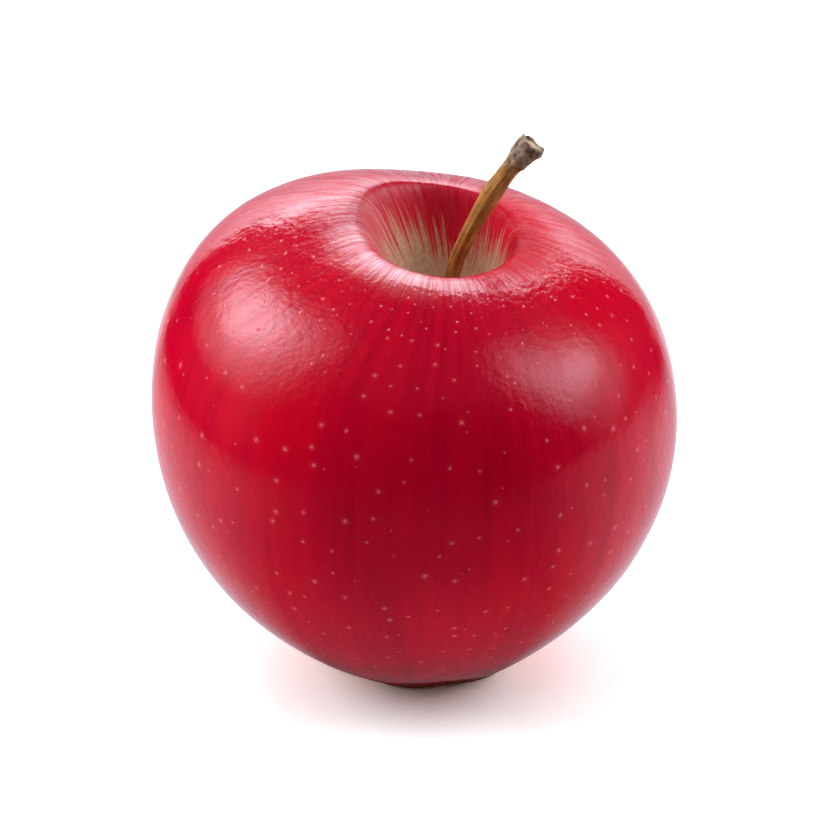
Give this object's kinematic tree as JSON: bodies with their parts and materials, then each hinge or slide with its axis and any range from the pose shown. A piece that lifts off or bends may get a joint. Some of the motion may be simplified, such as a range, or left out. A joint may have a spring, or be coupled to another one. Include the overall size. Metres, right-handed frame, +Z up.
{
  "type": "red apple",
  "caption": "Whole ripe red apple standing on its base, with a woody stem leaning out of the cavity on top and a dried calyx in the basin underneath.",
  "frame": {"origin": "on the surface the fruit rests on, under the middle of its greatest girth", "axes": "+Z up, from the calyx basin to the stem; +X towards the side the stem leans to; the fruit's higher shoulder is on the +Y side, a little towards -X"},
  "size_m": [0.0779, 0.0778, 0.0837],
  "materials": {
    "skin": "waxy apple skin, deep crimson with fine upright streaks, pale lenticels and russet in the stem cavity",
    "stem_bark": "golden brown woody bark, dry, with a grey-brown broken knob",
    "dried_calyx": "dry, dull brown flower remains"
  },
  "bodies": {
    "root": {"fruit": "skin", "stem": "stem_bark", "calyx": "dried_calyx"}
  },
  "joints": []
}
